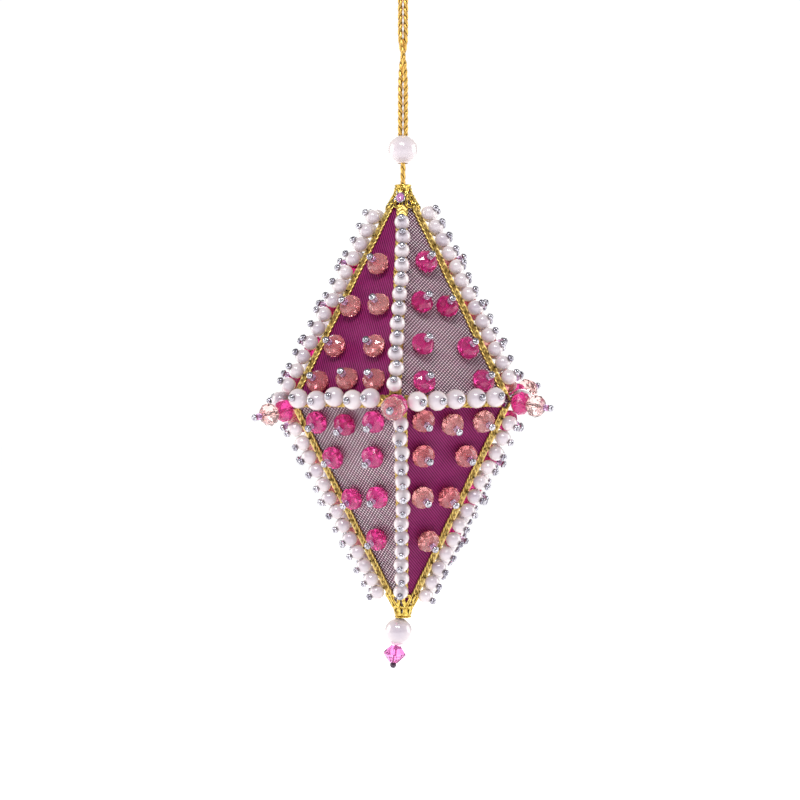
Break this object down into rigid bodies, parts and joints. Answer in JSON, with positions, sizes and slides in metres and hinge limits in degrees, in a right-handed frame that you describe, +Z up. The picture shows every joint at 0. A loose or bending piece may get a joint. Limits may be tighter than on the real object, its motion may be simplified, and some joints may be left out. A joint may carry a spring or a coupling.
{
  "type": "beaded hanging ornament",
  "caption": "Six-sided double-pyramid ornament in satin and net, pinned with pearls and faceted beads, hung on a looped gold cord with a beaded drop.",
  "frame": {"origin": "inside top of the hanging loop, where the hook or branch bears", "axes": "+Z up along the cord, -Y towards the front corner, +X to the right"},
  "size_m": [0.0757, 0.0863, 0.1838],
  "materials": {
    "foam": "matte",
    "satin": "satin",
    "net": "matte",
    "lining": "satin",
    "gold_braid": "satin",
    "pearl": "gloss",
    "silver_seed": "gloss",
    "tint_seed": "gloss",
    "pin_steel": "polished",
    "salmon_bead": "gloss",
    "hot_pink_bead": "gloss",
    "pale_bead": "gloss",
    "filigree": "polished",
    "stone": "gloss",
    "gold_cord": "satin",
    "crystal": "gloss",
    "dark_seed": "gloss"
  },
  "bodies": {
    "hanger": {"cord_eye": "gold_cord"},
    "cord": {"cord_legs": "gold_cord"},
    "top_pearl": {"top_pearl": "pearl"},
    "stem": {"cord_stem": "gold_cord"},
    "ornament": {"foam_core": "foam", "satin_upper_1": "satin", "satin_upper_2": "satin", "satin_upper_3": "satin", "satin_lower_1": "satin", "satin_lower_2": "satin", "satin_lower_3": "satin", "net_upper_1": "net", "net_upper_2": "net", "net_upper_3": "net", "net_lower_1": "net", "net_lower_2": "net", "net_lower_3": "net", "lining_upper": "lining", "lining_lower": "lining", "braid_upper": "gold_braid", "braid_lower": "gold_braid", "braid_side": "gold_braid", "pearls_upper": "pearl", "pearls_lower": "pearl", "pearls_side": "pearl", "seeds_upper": "silver_seed", "seeds_lower": "silver_seed", "seeds_side": "silver_seed", "pins_upper": "pin_steel", "pins_lower": "pin_steel", "pins_side": "pin_steel", "pins_face": "pin_steel", "pins_corner": "pin_steel", "rondelles_satin": "salmon_bead", "rondelles_net": "hot_pink_bead", "tints_face": "tint_seed", "seeds_face": "silver_seed", "tints_corner": "tint_seed", "seeds_corner": "silver_seed", "top_cap": "filigree", "bottom_cap": "filigree", "cap_stone": "stone", "drop_seed": "dark_seed", "drop_pin": "pin_steel"},
    "drop_pearl": {"drop_pearl": "pearl"},
    "drop_crystal": {"drop_crystal": "crystal"},
    "hot_1": {"corner_hot_1": "hot_pink_bead"},
    "hot_2": {"corner_hot_2": "hot_pink_bead"},
    "hot_3": {"corner_hot_3": "hot_pink_bead"},
    "hot_4": {"corner_hot_4": "hot_pink_bead"},
    "hot_5": {"corner_hot_5": "hot_pink_bead"},
    "hot_6": {"corner_hot_6": "hot_pink_bead"},
    "pale_1": {"corner_pale_1": "pale_bead"},
    "pale_2": {"corner_pale_2": "pale_bead"},
    "pale_3": {"corner_pale_3": "pale_bead"},
    "pale_4": {"corner_pale_4": "pale_bead"},
    "pale_5": {"corner_pale_5": "pale_bead"},
    "pale_6": {"corner_pale_6": "pale_bead"}
  },
  "joints": [
    {"name": "swing_front", "type": "hinge", "parent": "hanger", "child": "cord", "pos_m": [0, 0, -0.0115], "axis": [1, 0, 0], "range_deg": [-35, 35]},
    {"name": "pearl_slide", "type": "slide", "parent": "cord", "child": "top_pearl", "axis": [0, 0, 1], "range_m": [0, 0.03]},
    {"name": "swing_side", "type": "hinge", "parent": "cord", "child": "stem", "pos_m": [0, 0, -0.054], "axis": [0, 1, 0], "range_deg": [-40, 40]},
    {"name": "spin", "type": "hinge", "parent": "stem", "child": "ornament", "pos_m": [0, 0, -0.058], "axis": [0, 0, 1], "continuous": true},
    {"name": "hot_spin_1", "type": "hinge", "parent": "ornament", "child": "hot_1", "pos_m": [0, -0.0324, -0.1149], "axis": [-0.1378, -0.9806, -0.1392], "continuous": true},
    {"name": "pale_spin_1", "type": "hinge", "parent": "ornament", "child": "pale_1", "pos_m": [0, -0.0324, -0.1149], "axis": [-0.1378, -0.9806, -0.1392], "continuous": true},
    {"name": "hot_spin_2", "type": "hinge", "parent": "ornament", "child": "hot_2", "pos_m": [0.02806, -0.0162, -0.1142], "axis": [0.8951, -0.4174, -0.1564], "continuous": true},
    {"name": "pale_spin_2", "type": "hinge", "parent": "ornament", "child": "pale_2", "pos_m": [0.02806, -0.0162, -0.1142], "axis": [0.8951, -0.4174, -0.1564], "continuous": true},
    {"name": "hot_spin_3", "type": "hinge", "parent": "ornament", "child": "hot_3", "pos_m": [0.02806, 0.0162, -0.1125], "axis": [0.6948, 0.671, 0.2588], "continuous": true},
    {"name": "pale_spin_3", "type": "hinge", "parent": "ornament", "child": "pale_3", "pos_m": [0.02806, 0.0162, -0.1125], "axis": [0.6948, 0.671, 0.2588], "continuous": true},
    {"name": "hot_spin_4", "type": "hinge", "parent": "ornament", "child": "hot_4", "pos_m": [0, 0.0324, -0.114], "axis": [-0.0347, 0.9939, -0.1045], "continuous": true},
    {"name": "pale_spin_4", "type": "hinge", "parent": "ornament", "child": "pale_4", "pos_m": [0, 0.0324, -0.114], "axis": [-0.0347, 0.9939, -0.1045], "continuous": true},
    {"name": "hot_spin_5", "type": "hinge", "parent": "ornament", "child": "hot_5", "pos_m": [-0.02806, 0.0162, -0.114], "axis": [-0.8794, 0.4101, -0.2419], "continuous": true},
    {"name": "pale_spin_5", "type": "hinge", "parent": "ornament", "child": "pale_5", "pos_m": [-0.02806, 0.0162, -0.114], "axis": [-0.8794, 0.4101, -0.2419], "continuous": true},
    {"name": "hot_spin_6", "type": "hinge", "parent": "ornament", "child": "hot_6", "pos_m": [-0.02719, -0.0157, -0.116], "axis": [-0.8471, -0.4891, -0.2079], "continuous": true},
    {"name": "pale_spin_6", "type": "hinge", "parent": "ornament", "child": "pale_6", "pos_m": [-0.02719, -0.0157, -0.116], "axis": [-0.8471, -0.4891, -0.2079], "continuous": true},
    {"name": "drop_pearl_spin", "type": "hinge", "parent": "ornament", "child": "drop_pearl", "pos_m": [-0.0006, 0, -0.1694], "axis": [-0.1564, 0, -0.9877], "continuous": true},
    {"name": "drop_crystal_spin", "type": "hinge", "parent": "ornament", "child": "drop_crystal", "pos_m": [-0.0006, 0, -0.1694], "axis": [-0.1564, 0, -0.9877], "continuous": true}
  ]
}
